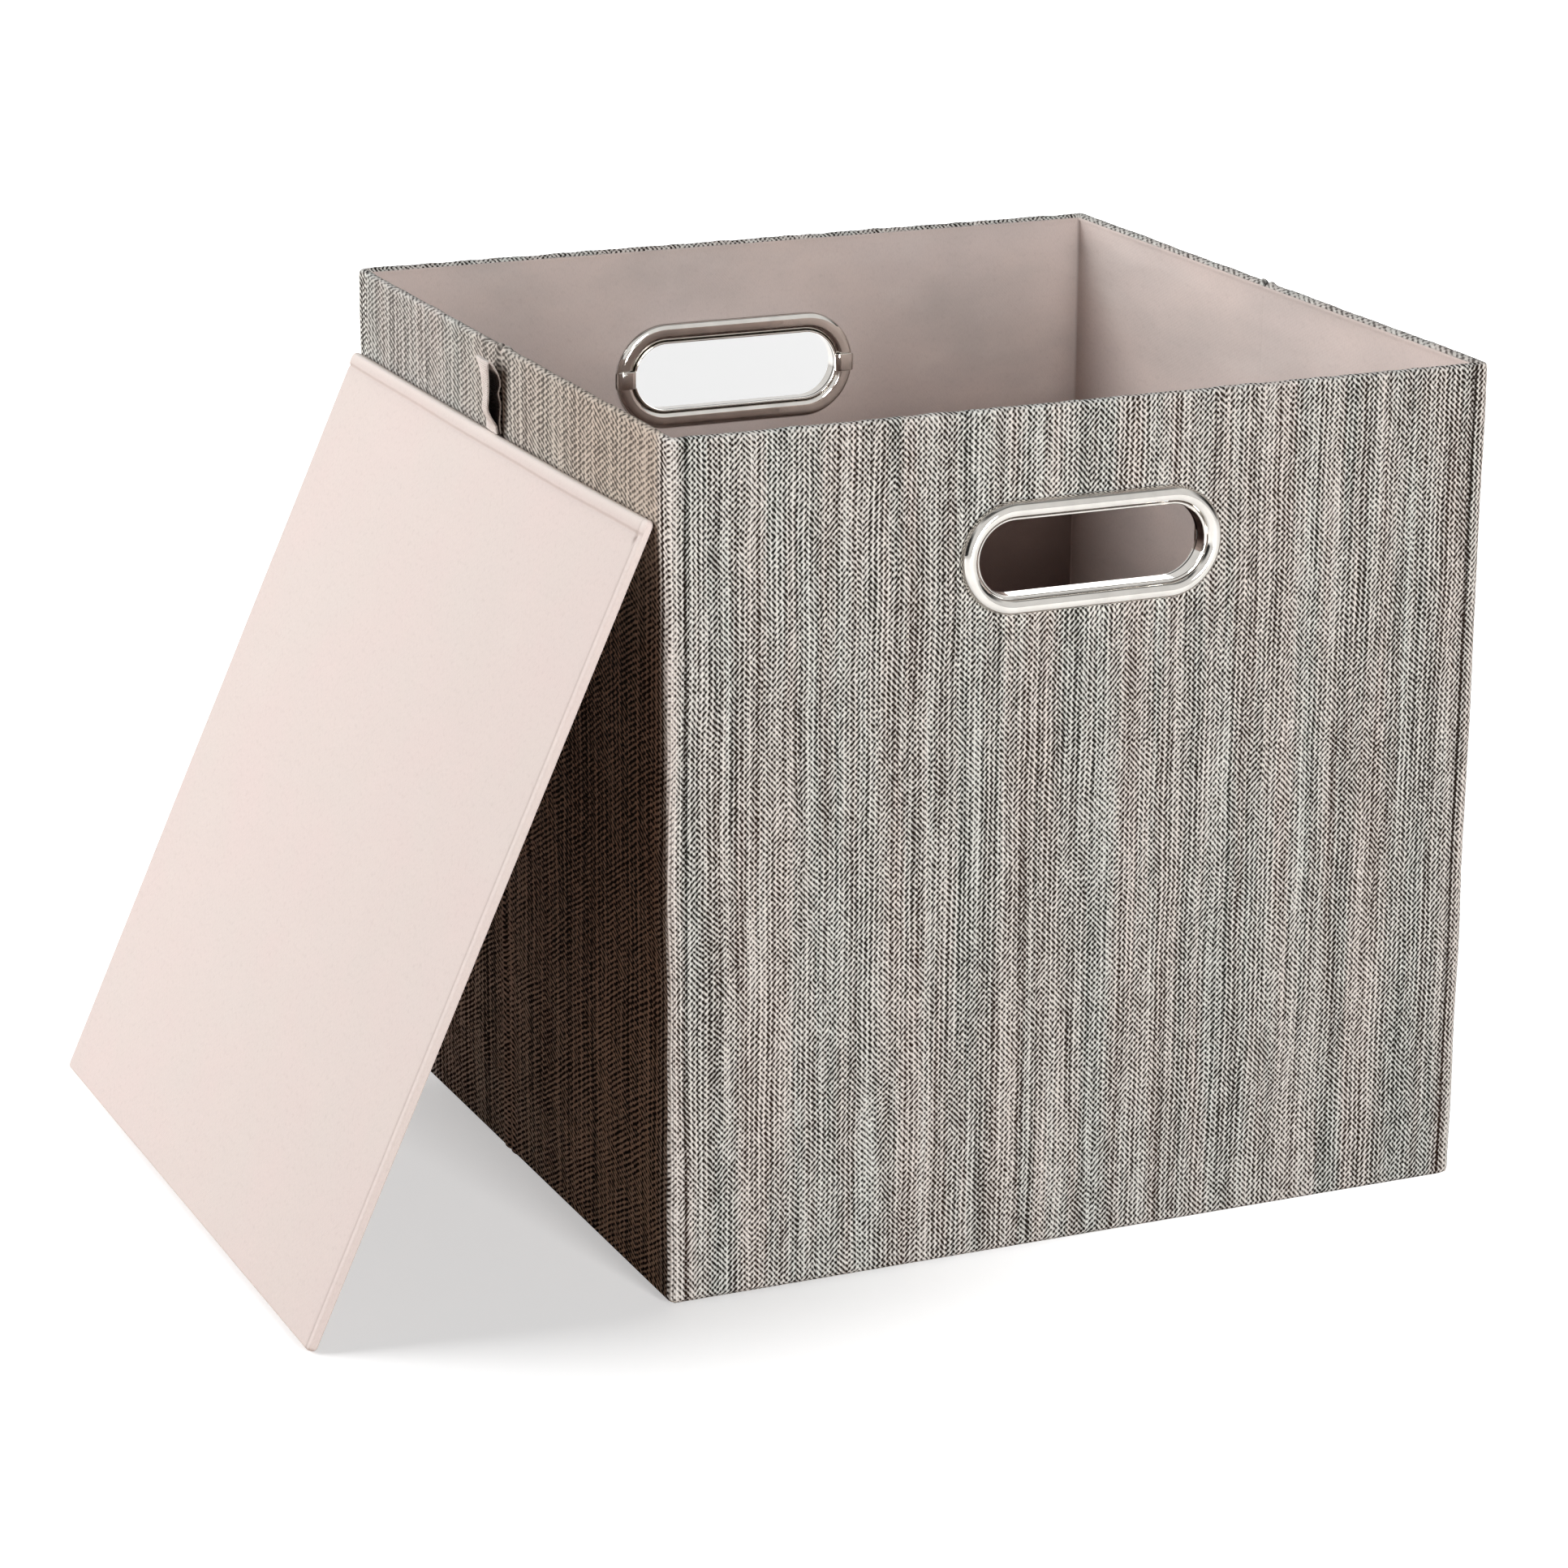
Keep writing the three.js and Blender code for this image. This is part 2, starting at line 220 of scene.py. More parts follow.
def make_tweed():
    """Broken zigzag weave of pale thread over charcoal, streaked like a melange yarn."""
    t = Tree("tweed")
    u, v = t.uv()

    def noise(along, up, seed, detail, roughness=0.5, x=u, y=v):
        """Noise about zero, at so many steps a metre along the cloth and up it."""
        place = t.vector(t.mul(x, along), t.mul(y, up), seed + 0.5)
        return t.sub(t.noise(place, detail=detail, roughness=roughness), 0.5)

    # threads waver, so columns of the weave lean and bunch a little
    waver = t.add(t.mul(noise(150, 60, 8, 1), 0.7), t.mul(noise(38, 11, 18, 1), 2.6))
    along = t.add(t.mul(u, 1 / THREAD_ALONG), waver)
    up = t.add(t.mul(v, 1 / THREAD_UP), t.mul(noise(22, 30, 3, 1), 3.0))
    column = t.math("FLOOR", along)
    across = t.sub(t.sub(along, column), 0.5)

    # dark gaps sit half a step apart in neighbouring columns and lean one way, then the other
    slip = noise(0.77, 55, 5, 1, x=column)
    lean = noise(0.3, 0.1, 21, 1, x=column, y=up)
    lean = t.remap(lean, -0.167, 0.167, -math.pi, math.pi)
    phase = t.add(t.mul(t.add(t.add(column, up), slip), math.pi), t.mul(lean, across))
    thread = t.math("COSINE", t.mul(across, 2 * math.pi))
    dots = t.mul(t.math("COSINE", phase), t.add(t.mul(thread, 0.3), 0.95))

    # every other column is darker, and whole threads and groups of threads run paler or darker
    by_turns = t.math("COSINE", t.mul(along, math.pi))
    strength = t.add(t.mul(noise(0.13, 20, 31, 1, x=column), 1.5), 0.36)
    single = t.mul(t.sub(t.white(t.vector(column, 0.0, 4.0)), 0.5), 0.5)
    stretch = t.mul(noise(0.9, 26, 9, 2, x=column), 1.2)
    band = t.mul(noise(190, 9, 13, 3, 0.6), 1.45)
    fine = t.mul(noise(650, 420, 41, 1), 1.6)
    on_left = t.ease(u, -6.5 * MM, -2.5 * MM, 1.0, 0.0)
    on_right = t.mul(t.math("GREATER_THAN", u, RIGHT_START), t.math("LESS_THAN", u, BACK_START))
    side = t.math("MAXIMUM", on_left, on_right)
    field = t.sub(dots, t.mul(by_turns, strength))
    for part in (single, stretch, band, fine, t.mul(thread, 0.12)):
        field = t.add(field, part)
    # paler over the upright corners, partly stretched cloth and partly a painted highlight on their
    # rounded edges; stretched pale over the rim, with a pulled dark thread by each corner
    corner, below = t.uv("edges")
    field = t.sub(field, t.ease(corner, 1.0 * MM, 4.6 * MM, 0.55, 0.0))
    field = t.sub(field, t.ease(below, 0.5 * MM, 3.0 * MM, 0.30, 0.0))
    pulled = t.math("ABSOLUTE", t.sub(corner, 6.0 * MM))
    field = t.add(field, t.ease(pulled, 0.2 * MM, 1.0 * MM, 0.9, 0.0))
    # the side walls' cloth is cut the other way of its repeat, with a bolder zigzag
    swing = t.mul(t.math("COSINE", t.mul(up, math.pi * 0.5)), 1.1)
    group = t.math("COSINE", t.add(t.mul(along, math.pi * 0.5), swing))
    field = t.add(field, t.mul(side, t.sub(t.mul(group, 0.3), 0.1)))
    dark_share = t.ease(field, -1.26, 1.08)
    # painted shade on the side walls: more charcoal and bolder contrast below the base board's top
    # edge; painted light: less charcoal on the foot
    bold = t.add(1.0, t.mul(side, t.remap(v, SHADE_FROM, SHADE_TO, 0.35, -0.38)))
    shift = t.sub(t.remap(v, SHADE_FROM, SHADE_TO, 0.18, 0.06),
                  t.remap(v, LIT_FOOT_FROM, LIT_FOOT_TO, 0.16, 0.0))
    shift = t.add(EVEN_SHARE, t.mul(side, shift))
    dark_share = t.add(t.mul(t.sub(dark_share, EVEN_SHARE), bold), shift)

    tint = t.remap(noise(95, 5, 14, 2), -0.15, 0.15)
    fleck = t.remap(noise(900, 900, 2, 1), -0.2, 0.25, 0.0, 0.35)
    pale = t.mix(tint, rgb(252, 245, 239), rgb(246, 248, 243))
    # the left wall is warmer towards the front, and carries painted shade below the base board's
    # top edge, a darker brown that is less at its foot
    left = t.mul(side, t.math("LESS_THAN", u, 0.0))
    pale = t.mix(t.mul(left, t.remap(u, -0.12, -0.03, 0.0, 0.75)), pale, rgb(248, 228, 208))
    board_shade = t.mul(t.remap(v, 0.24, 0.28, 0.8, 0.0), t.remap(v, LIT_FOOT_FROM, LIT_FOOT_TO, 0.1, 1.0))
    pale = t.mix(t.mul(left, board_shade), pale, rgb(196, 170, 152))
    pale = t.mix(fleck, pale, rgb(175, 165, 158))
    dark = t.mix(tint, rgb(42, 29, 23), rgb(28, 27, 24))
    colour = t.mix(dark_share, pale, dark)
    height = t.add(t.sub(t.mul(thread, 0.35), dark_share), t.mul(fine, 0.25))
    return t.surface(
        Base_Color=colour, Roughness=0.93, Normal=t.bump(height, 0.32 * MM, 0.8),
        Sheen_Weight=0.05, Sheen_Roughness=0.5, Specular_IOR_Level=0.0)


DIMPLE = 1.3 * MM  # step of the bonded cloth's fine dimple pattern


def make_lining(name, base, warm, cool, strength=1.0, seams=False):
    """Smooth bonded cloth with cloudy patches, fine dimples and a few rubbed marks.

    With seams it is the base board's cloth, with painted shade along its hem and seam lines and a
    painted highlight towards its top edge; without it the lining, with painted shade low on the
    back wall.
    """
    t = Tree(name)
    u, v = t.uv()
    flat = t.vector(u, v, 0.0)
    cloud = t.noise(flat, scale=17.0, detail=4.0, roughness=0.55)
    patch = t.noise(t.vector(t.mul(u, 14), t.mul(v, 22), 7.0), detail=3.0)
    rub = t.noise(t.vector(t.mul(u, 30), t.mul(v, 55), 4.0), detail=3.0)
    colour = t.mix(t.remap(cloud, 0.35, 0.68), base, warm)
    colour = t.mix(t.remap(patch, 0.46, 0.66, 0.0, 0.7 * strength), colour, cool)
    colour = t.mix(t.remap(rub, 0.52, 0.78, 0.0, 0.25 * strength), colour, rgb(240, 230, 224))
    fibre = t.noise(t.vector(t.mul(u, 2600), t.mul(v, 700), 1.0), detail=2.0)
    speck = t.noise(t.vector(t.mul(u, 420), t.mul(v, 420), 6.0), detail=2.0)
    if not seams:
        # painted shade: darker low on the back wall, where the front wall shades it
        low = t.remap(v, 0.25, 0.16, 0.0, 0.8)
        on_back = t.math("GREATER_THAN", u, BACK_START)
        colour = t.mix(t.mul(on_back, low), colour, rgb(112, 92, 88))
    colour = t.mix(t.remap(fibre, 0.4, 0.9, 0.0, 0.12), colour, rgb(120, 106, 100))
    colour = t.mix(t.remap(speck, 0.55, 0.8, 0.0, 0.10), colour, rgb(150, 130, 124))
    dimple_u = t.math("SINE", t.mul(u, 2 * math.pi / DIMPLE))
    dimple_v = t.math("SINE", t.mul(v, 2 * math.pi / DIMPLE))
    dimple = t.mul(dimple_u, dimple_v)
    height = t.add(t.mul(dimple, 0.25), t.add(fibre, t.mul(cloud, 2.0)))
    if seams:  # the line under the hem, and the one along the front edge
        # painted shade in the hem's line, the front seam's line and a little below the hem, and a
        # painted highlight on the band between the hem and the top edge
        hem, front = t.uv("edges")
        line = t.ease(t.math("ABSOLUTE", hem), 0.1 * MM, 1.0 * MM, 0.34, 0.0)
        side = t.ease(t.math("ABSOLUTE", front), 0.1 * MM, 0.8 * MM, 0.35, 0.0)
        colour = t.mix(t.math("MAXIMUM", line, side), colour, rgb(176, 162, 156))
        colour = t.mix(t.remap(hem, 0.0, 5.0 * MM, 0.10, 0.0), colour, rgb(190, 176, 172))
        colour = t.mix(t.remap(hem, -1.2 * MM, -4.6 * MM, 0.0, 0.45), colour, rgb(250, 244, 238))
    return t.surface(
        Base_Color=colour, Roughness=0.82, Normal=t.bump(height, 0.09 * MM, 0.7),
        Sheen_Weight=0.05, Sheen_Roughness=0.5, Specular_IOR_Level=0.0)


def make_ribbon():
    """Narrow woven tape with fine cross ribs, and painted shade inside its loop."""
    t = Tree("ribbon")
    u, v = t.uv()
    rib = t.math("SINE", t.mul(v, 2 * math.pi / (0.7 * MM)))
    yarn = t.math("SINE", t.mul(u, 2 * math.pi / (0.55 * MM)))
    cloud = t.noise(t.vector(t.mul(u, 300), t.mul(v, 220), 1.0), detail=3.0)
    colour = t.mix(t.remap(cloud, 0.3, 0.7), rgb(244, 236, 231), rgb(226, 216, 210))
    colour = t.mix(t.remap(rib, -1.0, 0.2, 0.22, 0.0), colour, rgb(176, 164, 158))
    height = t.add(rib, t.mul(yarn, 0.3))
    # painted shade on the faces inside the loop
    inside, _ = t.uv("edges")
    colour = t.mix(t.remap(inside, 0.6, 1.0, 0.0, 0.95), colour, rgb(58, 46, 42))
    return t.surface(
        Base_Color=colour, Roughness=0.75, Normal=t.bump(height, 0.12 * MM, 0.8),
        Sheen_Weight=0.1, Specular_IOR_Level=0.1)


def make_chrome():
    """Plated steel with the faintest polishing haze, and a painted contact shadow in its joint
    against the lining.
    """
    t = Tree("chrome")
    parts = wire(t.tree, "ShaderNodeSeparateXYZ", {0: t.place()})
    out = t.math("ABSOLUTE", parts.outputs[1])
    joint = FRONT - WALL  # the lining's plane
    # painted contact shadow: a dark band just inside the lining's plane
    joint_shadow = t.mul(t.ease(out, joint - 1.4 * MM, joint - 0.7 * MM),
                  t.ease(out, joint - 0.4 * MM, joint + 0.1 * MM, 0.93, 0.0))
    haze = t.noise(t.place(), scale=900.0, detail=2.0)
    wave = t.noise(t.place(), scale=120.0, detail=2.0)
    rough = t.remap(haze, 0.3, 0.7, 0.045, 0.10)
    colour = t.mix(t.remap(wave, 0.3, 0.7), rgb(228, 224, 218), rgb(214, 210, 204))
    colour = t.mix(joint_shadow, colour, rgb(40, 33, 30))
    return t.surface(
        Base_Color=colour, Metallic=1.0, Roughness=rough, Normal=t.bump(wave, 0.06 * MM, 0.5))


def make_card():
    """Grey-brown pressed card, seen only through the hand-hole's gap and when a fold opens."""
    t = Tree("card")
    speck = t.noise(t.place(), scale=700.0, detail=4.0)
    cloud = t.noise(t.place(), scale=40.0, detail=2.0)
    colour = t.mix(t.remap(speck, 0.35, 0.65), rgb(176, 162, 142), rgb(150, 137, 120))
    colour = t.mix(t.mul(cloud, 0.4), colour, rgb(190, 178, 160))
    return t.surface(Base_Color=colour, Roughness=0.92, Normal=t.bump(speck, 0.05 * MM, 0.6))


CAMERA_WHITE = 1.05  # strength of the white surround, just over the picture's white
FLOOR_IN_METAL = 0.72  # how much of the floor's glow polished metal sees


def make_floor():
    """White paper that glows to the camera and in metal, with painted shadows where it glows less,
    by the board and behind the bin.
    """
    t = Tree("stage_floor")
    parts = wire(t.tree, "ShaderNodeSeparateXYZ", {0: t.place()})

    def distance(x, y):
        dx, dy = t.sub(parts.outputs[0], x), t.sub(parts.outputs[1], y)
        return t.math("SQRT", t.add(t.mul(dx, dx), t.mul(dy, dy)))

    # painted shadows: the glow is less around the board's foot and on a patch behind the bin
    under_board = distance((BOARD_FOOT.x - SIDE) / 2, -0.06)
    gap = t.ease(under_board, 0.12, 0.38, 0.46, CAMERA_WHITE)
    behind = t.ease(distance(0.49, 1.30), 0.14, 0.27, 0.34, CAMERA_WHITE)
    glow = t.math("MINIMUM", gap, behind)
    ray = wire(t.tree, "ShaderNodeLightPath").outputs
    seen = t.math("MAXIMUM", ray["Is Camera Ray"], ray["Is Glossy Ray"])
    # white to the camera and in metal, but a dim warm brown to other rays, so the floor bounces
    # less and warmer light into the shade around the bin
    colour = t.mix(seen, (0.41, 0.28, 0.21, 1), (0.80, 0.80, 0.80, 1))
    share = t.add(ray["Is Camera Ray"], t.mul(ray["Is Glossy Ray"], FLOOR_IN_METAL))
    return t.surface(
        Base_Color=colour, Roughness=0.9, Specular_IOR_Level=0.0,
        Emission_Color=(1, 1, 1, 1), Emission_Strength=t.mul(glow, share))


tweed = make_tweed()
lining = make_lining("lining", rgb(230, 214, 207), rgb(224, 210, 205), rgb(207, 196, 191))
board_cloth = make_lining("board_cloth", rgb(232, 221, 216), rgb(234, 220, 216),
                          rgb(230, 222, 217), strength=0.5, seams=True)
ribbon = make_ribbon()
chrome = make_chrome()
card = make_card()


# ---------------- mesh helpers
def add_mesh(name, points, faces, material, uv=None, edges=None):
    """A smooth mesh object; uv and edges give its materials two lengths at each point."""
    points = np.asarray(points, float)
    if isinstance(faces, np.ndarray):  # leave out points that no face uses
        used, faces = np.unique(faces, return_inverse=True)
        faces = faces.reshape(-1, 4)
        points = points[used]
        uv, edges = (None if part is None else part[used] for part in (uv, edges))
    data = bpy.data.meshes.new(name)
    data.from_pydata([tuple(p) for p in points], [], [tuple(f) for f in faces])
    data.update()
    for label, values in (("cloth", uv), ("edges", edges)):
        if values is not None:
            layer = data.uv_layers.new(name=label)
            corner = np.empty(len(data.loops), int)
            data.loops.foreach_get("vertex_index", corner)
            values = np.asarray(values, float)[corner].astype(np.float32)
            layer.data.foreach_set("uv", values.ravel())
    data.polygons.foreach_set("use_smooth", np.ones(len(data.polygons), bool))
    data.materials.append(material)
    data.validate()
    obj = bpy.data.objects.new(name, data)
    bpy.context.scene.collection.objects.link(obj)
    return obj


def grid_faces(rows, columns, wrap_rows=False, wrap_columns=False):
    """Quads over points stored row by row."""
    row = np.arange(rows if wrap_rows else rows - 1)
    column = np.arange(columns if wrap_columns else columns - 1)
    r, c = (part.ravel() for part in np.meshgrid(row, column, indexing="ij"))
    r_next, c_next = (r + 1) % rows, (c + 1) % columns
    return np.stack([r * columns + c, r * columns + c_next, r_next * columns + c_next,
                     r_next * columns + c], axis=1)


def tube_faces(rows, columns):
    """The faces of a closed tube of points stored row by row, with both its ends."""
    faces = [tuple(face) for face in grid_faces(rows, columns, wrap_columns=True)]
    faces.append(tuple(range(columns)))
    faces.append(tuple(reversed(range((rows - 1) * columns, rows * columns))))
    return faces


def outward_faces(obj):
    """Turns every face of a closed mesh outwards."""
    mesh = bmesh.new()
    mesh.from_mesh(obj.data)
    bmesh.ops.recalc_face_normals(mesh, faces=mesh.faces)
    mesh.to_mesh(obj.data)
    mesh.free()


def ripple(u, v, seed, shortest, longest, waves=14):
    """A smooth wavy number, about -1 to 1, the same each run."""
    draw = np.random.default_rng(seed)
    total = np.zeros(np.broadcast(u, v).shape)
    for _ in range(waves):
        length = math.exp(draw.uniform(math.log(shortest), math.log(longest)))
        angle = draw.uniform(0, math.pi)
        k = 2 * math.pi / length
        way = math.cos(angle) * u + math.sin(angle) * v
        total = total + np.sin(k * way + draw.uniform(0, 6.283))
    return total / math.sqrt(waves) / 1.6


def bell(distance, width):
    """1 at no distance, fading to nothing over about twice the width."""
    return np.exp(-(distance / width) ** 2)


def paired(a, b):
    """Two grids of numbers as one row of two for each point."""
    return np.stack([a.ravel(), b.ravel()], axis=1)


def lengths(points):
    """How far along a line of points each of them is."""
    steps = np.linalg.norm(np.diff(points, axis=0), axis=1)
    return np.concatenate([[0], np.cumsum(steps)])


def stand_for(piece, node, body):
    """The piece shows in place of a CAD node, and rides on a body."""
    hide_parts(node)
    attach(piece, body)


# ---------------- the walls' plan
# A run is a stretch of wall from above, against the clock: points on the outer line and the inner
# line, outward normals, the cloth's distance along the bin, and the distance to the corner.
DIRECTIONS = {  # along, out, cloth distance at the wall's start, cloth distance per metre
    "front": (Vector((1, 0)), Vector((0, -1)), 0.0, 1.0),
    "right": (Vector((0, 1)), Vector((1, 0)), RIGHT_START, SIDE_RATE),
    "back": (Vector((-1, 0)), Vector((0, 1)), BACK_START, 1.0),
    "left": (Vector((0, -1)), Vector((-1, 0)), LEFT_START, SIDE_RATE),
}


def half_and_reach(side):
    """Half a wall's width, and its outer face's distance from the bin's middle."""
    return (SIDE, FRONT) if side in ("front", "back") else (FRONT, SIDE)


def side_run(side, start, end, step):
    """Along one wall, from start to end, measured from the wall's middle."""
    along, out, begin, rate = DIRECTIONS[side]
    half, reach = half_and_reach(side)
    count = max(2, int(round((end - start) / step)) + 1)
    s = np.linspace(start, end, count)
    outer = s[:, None] * np.array(along) + reach * np.array(out)
    normal = np.repeat(np.array(out)[None, :], count, axis=0)
    return outer, outer - WALL * normal, normal, begin + (half + s) * rate, half - np.abs(s)


def corner_run(first, second):
    """Round the corner from one wall to the next, CORNER along each."""
    t1, n1, begin, rate1 = DIRECTIONS[first]
    t2, n2, _, rate2 = DIRECTIONS[second]
    half, reach1 = half_and_reach(first)
    reach2 = half_and_reach(second)[1]
    t1, n1, t2, n2 = (np.array(vector) for vector in (t1, n1, t2, n2))
    corner = n1 * reach1 + n2 * reach2
    quarter = np.linspace(0, math.pi / 2, 9)
    straight = 5  # points on each straight part

    def line(point, radius, reach):
        shares = [(radius - reach) * k / straight for k in range(straight + 1)]
        flat_in = [point - t1 * (reach + share) for share in shares[:-1]]
        centre = point - (n1 + n2) * radius
        bend = [centre + radius * (math.cos(a) * n1 + math.sin(a) * n2) for a in quarter]
        flat_out = [point + t2 * (radius - share) for share in shares[1:]]
        return np.array(flat_in + bend + flat_out)

    outer = line(corner, CORNER_ROUND, CORNER)
    inner = line(corner - WALL * (n1 + n2), INNER_ROUND, CORNER - WALL)
    angles = np.concatenate([np.zeros(straight), quarter, np.full(straight, math.pi / 2)])
    normal = np.cos(angles)[:, None] * n1 + np.sin(angles)[:, None] * n2
    travelled = lengths(outer)
    past = travelled * (2 * CORNER / travelled[-1]) - CORNER
    u = begin + 2 * half * rate1 + past * np.where(past < 0, rate1, rate2)
    return outer, inner, normal, u, np.abs(past)


def lift(run, profile):
    """Points of a run carried along a profile of (outward distance, height)."""
    outer, inner, normal = run[:3]
    d = profile[:, 0][:, None, None]
    share = np.clip(-d / WALL, 0, 1)
    beyond = np.minimum(d + WALL, 0)
    plan = outer + (inner - outer) * share + normal * np.maximum(d, 0) + normal * beyond
    z = np.broadcast_to(profile[:, 1][:, None], plan.shape[:2])
    return np.dstack([plan, z])


# ---------------- outer tweed
def tweed_profile():
    """From the hem inside the rim, over it, down the outer face and under the bottom edge."""
    r = WALL / 2
    over = [(-r - r * math.cos(a), RIM - r + r * math.sin(a)) for a in np.linspace(0, math.pi, 13)]
    face = [(0, z) for z in np.linspace(RIM - r, 3.5 * MM, 138)][1:]
    under = [(-2.6 * MM * (1 - math.cos(a)), 3.4 * MM - 2.6 * MM * math.sin(a))
             for a in np.linspace(0, math.pi / 2, 7)][1:]
    hem = [(-WALL, RIM - 2.6 * MM), (-WALL, RIM - 2.1 * MM)]
    points = np.array(hem + over + face + under + [(-3.3 * MM, 0.8 * MM)])
    length = lengths(points)
    top = len(hem) + len(over) - 1
    return points, RIM - r + length[top] - length


RIDGE, RIDGE_AT, RIDGE_WIDTH = 0.6 * MM, 3.4 * MM, 1.8 * MM  # the soft ridges beside a crease
GROOVE, GROOVE_WIDTH = 1.2 * MM, 1.0 * MM


def crease_shape(distance, ridge):
    """How far the cloth stands out near a sewn crease: a narrow sunk line between two ridges."""
    ridges = ridge * bell(np.abs(distance) - RIDGE_AT, RIDGE_WIDTH)
    return ridges - GROOVE * bell(distance, GROOVE_WIDTH)


def outer_skin(name, run, body=None, crease=False, hole=False):
    """The tweed over one run: slack waves, an uneven rim, and a crease where it has one."""
    profile, v = tweed_profile()
    out, height = profile.T
    points = lift(run, profile)
    outer, _, normal, u, edge = run
    u_grid = np.broadcast_to(u[None, :], points.shape[:2])
    v_grid = np.broadcast_to(v[:, None], points.shape[:2])
    on_face = out > -0.1 * MM
    slack = (np.clip((RIM - 2 * MM - height) / (14 * MM), 0, 1) * on_face)[:, None]
    push = slack * ripple(u_grid, v_grid, 11, 45 * MM, 190 * MM) * 0.42 * MM
    push = push + on_face[:, None] * ripple(u_grid, v_grid, 12, 5 * MM, 16 * MM) * 0.05 * MM
    on_top = np.clip((height - RIM + 3 * MM) / (3 * MM), 0, 1)[:, None]
    rise = on_top * ripple(u_grid, 0 * v_grid, 13, 3 * MM, 22 * MM) * 0.26 * MM
    if crease:
        left = outer[0, 0] < 0
        across = np.abs(outer[:, 1])[None, :]
        sink = crease_shape(across, RIDGE if left else 0.1 * MM)
        push = push + sink * (out > -WALL * 0.6)[:, None]
        push = np.minimum(push, 0.06 * across + 1.0 * MM * left)
        if left:  # the rim is pinched shut where the crease runs over it, so it can fold
            push = push + np.maximum(-out - 1.2 * MM, 0)[:, None] * bell(across, 1.0 * MM)
        bump = 0.8 * MM * bell(across - RIDGE_AT, RIDGE_WIDTH)
        rise = rise + on_top * (bump - 2.0 * MM * bell(across, 1.2 * MM))
    points[..., :2] += normal[None] * push[..., None]
    points[..., 2] += rise
    edge_grid = np.broadcast_to(edge[None, :], u_grid.shape)
    maps = paired(u_grid, v_grid), paired(edge_grid, RIM - v_grid)
    tuck = -0.35 * MM if hole else None
    faces = grid_faces(*points.shape[:2])
    return wall_cloth(name, points, faces, normal[0], tuck, "tweed", maps, body)


CUT_AWAY, CUT_EDGE = 3.2 * MM, 2.6 * MM  # beyond the hand-hole: faces dropped, and the edge's place


def cut_grip_hole(flat, faces, out, tuck):
    """Opens the hand-hole, and draws the cut edge in under the grip."""
    def from_slot(points):
        x = np.clip(points[:, 0], -GRIP_HALF, GRIP_HALF)
        away = np.stack([points[:, 0] - x, points[:, 2] - GRIP_Z], axis=1)
        return x, away, np.linalg.norm(away, axis=1)

    middle = flat[faces].mean(axis=1)
    gone = from_slot(middle)[2] < GRIP_RADIUS + CUT_AWAY
    kept = faces[~gone]
    edge = np.intersect1d(np.unique(faces[gone]), np.unique(kept))
    x, away, distance = from_slot(flat[edge])
    moved = away / np.maximum(distance, 1e-6)[:, None] * (GRIP_RADIUS + CUT_EDGE)
    flat[edge, 0] = x + moved[:, 0]
    flat[edge, 2] = GRIP_Z + moved[:, 1]
    pressed = bell(np.maximum(from_slot(flat)[2] - GRIP_RADIUS - 5 * MM, 0), 3.5 * MM)
    flat[:, :2] += pressed[:, None] * np.array(out) * tuck
    return flat, kept


def wall_cloth(name, points, faces, out, tuck, slot, maps, body):
    """A wall's cloth from its grid; tuck opens a hand-hole. A strip over a joint has no body."""
    flat = points.reshape(-1, 3)
    if tuck is not None:
        flat, faces = cut_grip_hole(flat, faces, out, tuck)
    obj = add_mesh(name, flat, faces, {"tweed": tweed, "lining": lining}[slot], *maps)
    if body:
        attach(obj, body)
    return obj


STEP, LINING_STEP, CREASE_STEP = 2.3 * MM, 2.6 * MM, 0.5 * MM  # mesh steps along a wall
TWEED_GAP, LINING_GAP = 0.3 * MM, 0.02 * MM  # from the right crease to each half's cloth
FACE_HALF = SIDE - CORNER
WALLS = {"front": "front_wall", "back": "back_wall"}
HALVES = {  # body: wall, and where it runs from and to, from the wall's middle
    "right_front": ("right", -FRONT + CORNER, 0.0),
    "right_back": ("right", 0.0, FRONT - CORNER),
    "left_back": ("left", -FRONT + CORNER, -CREASE),
    "left_front": ("left", CREASE, FRONT - CORNER),
}
CORNERS = [  # first wall, second wall, and the two bodies
    ("front", "right", "front_wall", "right_front"),
    ("right", "back", "right_back", "back_wall"),
    ("back", "left", "back_wall", "left_back"),
    ("left", "front", "left_front", "front_wall"),
]


def half_run(body, gap):
    """A side half's run; on the right it stops a gap short of the crease, in finer steps."""
    side, start, end = HALVES[body]
    if side == "left":
        return side_run(side, start, end, STEP)
    if body == "right_back":
        pair = side_run(side, gap, CREASE, CREASE_STEP), side_run(side, CREASE, end, STEP)
    else:
        pair = side_run(side, start, -CREASE, STEP), side_run(side, -CREASE, -gap, CREASE_STEP)
    return tuple(np.concatenate([pair[0][k], pair[1][k][1:]]) for k in range(5))


for side, body in WALLS.items():
    run = side_run(side, -FACE_HALF, FACE_HALF, STEP)
    skin = outer_skin(f"{side}_tweed", run, body, hole=True)
    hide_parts(f"{side}_cover")
for body in HALVES:
    skin = outer_skin(f"{body}_tweed", half_run(body, TWEED_GAP), body,
                      crease=body.startswith("right"))
    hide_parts(f"{body}_cover")
crease_tweed = outer_skin("left_crease_tweed", side_run("left", -CREASE, CREASE, CREASE_STEP),
                          crease=True)
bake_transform(crease_tweed)


